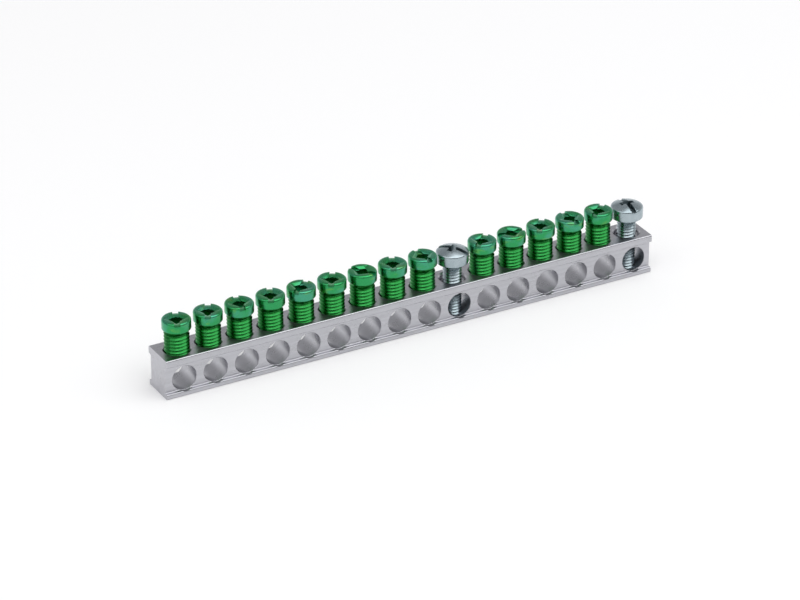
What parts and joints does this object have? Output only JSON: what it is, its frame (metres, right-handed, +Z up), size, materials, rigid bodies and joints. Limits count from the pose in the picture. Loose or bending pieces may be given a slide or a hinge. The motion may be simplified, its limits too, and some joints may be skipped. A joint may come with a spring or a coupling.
{
  "type": "earth terminal bar",
  "caption": "Slim aluminium earth bar with a row of cross holes for wires, a green clamping screw over each, and two bright fixing screws.",
  "frame": {"origin": "middle of the bar's underside", "axes": "+X along the bar, +Y across it along the wire holes, +Z up along the screws"},
  "size_m": [0.1358, 0.0098, 0.0189],
  "materials": {
    "bar_aluminium": "mill finish, fine lines along the bar",
    "green_screw": "glossy green dye over zinc plate",
    "bright_screw": "bright zinc plate"
  },
  "bodies": {
    "bar": {"bar": "bar_aluminium", "mounting_screw_1": "bright_screw", "mounting_screw_2": "bright_screw"},
    "terminal_screw_01": {"terminal_screw_01": "green_screw"},
    "terminal_screw_02": {"terminal_screw_02": "green_screw"},
    "terminal_screw_03": {"terminal_screw_03": "green_screw"},
    "terminal_screw_04": {"terminal_screw_04": "green_screw"},
    "terminal_screw_05": {"terminal_screw_05": "green_screw"},
    "terminal_screw_06": {"terminal_screw_06": "green_screw"},
    "terminal_screw_07": {"terminal_screw_07": "green_screw"},
    "terminal_screw_08": {"terminal_screw_08": "green_screw"},
    "terminal_screw_09": {"terminal_screw_09": "green_screw"},
    "terminal_screw_10": {"terminal_screw_10": "green_screw"},
    "terminal_screw_11": {"terminal_screw_11": "green_screw"},
    "terminal_screw_12": {"terminal_screw_12": "green_screw"},
    "terminal_screw_13": {"terminal_screw_13": "green_screw"},
    "terminal_screw_14": {"terminal_screw_14": "green_screw"}
  },
  "joints": [
    {"name": "terminal_screw_01_travel", "type": "slide", "parent": "bar", "child": "terminal_screw_01", "axis": [0, 0, 1], "range_m": [-0.00385, 0]},
    {"name": "terminal_screw_02_travel", "type": "slide", "parent": "bar", "child": "terminal_screw_02", "axis": [0, 0, 1], "range_m": [-0.00385, 0]},
    {"name": "terminal_screw_03_travel", "type": "slide", "parent": "bar", "child": "terminal_screw_03", "axis": [0, 0, 1], "range_m": [-0.00385, 0]},
    {"name": "terminal_screw_04_travel", "type": "slide", "parent": "bar", "child": "terminal_screw_04", "axis": [0, 0, 1], "range_m": [-0.00385, 0]},
    {"name": "terminal_screw_05_travel", "type": "slide", "parent": "bar", "child": "terminal_screw_05", "axis": [0, 0, 1], "range_m": [-0.00385, 0]},
    {"name": "terminal_screw_06_travel", "type": "slide", "parent": "bar", "child": "terminal_screw_06", "axis": [0, 0, 1], "range_m": [-0.00385, 0]},
    {"name": "terminal_screw_07_travel", "type": "slide", "parent": "bar", "child": "terminal_screw_07", "axis": [0, 0, 1], "range_m": [-0.00385, 0]},
    {"name": "terminal_screw_08_travel", "type": "slide", "parent": "bar", "child": "terminal_screw_08", "axis": [0, 0, 1], "range_m": [-0.00385, 0]},
    {"name": "terminal_screw_09_travel", "type": "slide", "parent": "bar", "child": "terminal_screw_09", "axis": [0, 0, 1], "range_m": [-0.00385, 0]},
    {"name": "terminal_screw_10_travel", "type": "slide", "parent": "bar", "child": "terminal_screw_10", "axis": [0, 0, 1], "range_m": [-0.00385, 0]},
    {"name": "terminal_screw_11_travel", "type": "slide", "parent": "bar", "child": "terminal_screw_11", "axis": [0, 0, 1], "range_m": [-0.00385, 0]},
    {"name": "terminal_screw_12_travel", "type": "slide", "parent": "bar", "child": "terminal_screw_12", "axis": [0, 0, 1], "range_m": [-0.00385, 0]},
    {"name": "terminal_screw_13_travel", "type": "slide", "parent": "bar", "child": "terminal_screw_13", "axis": [0, 0, 1], "range_m": [-0.00385, 0]},
    {"name": "terminal_screw_14_travel", "type": "slide", "parent": "bar", "child": "terminal_screw_14", "axis": [0, 0, 1], "range_m": [-0.00385, 0]}
  ]
}
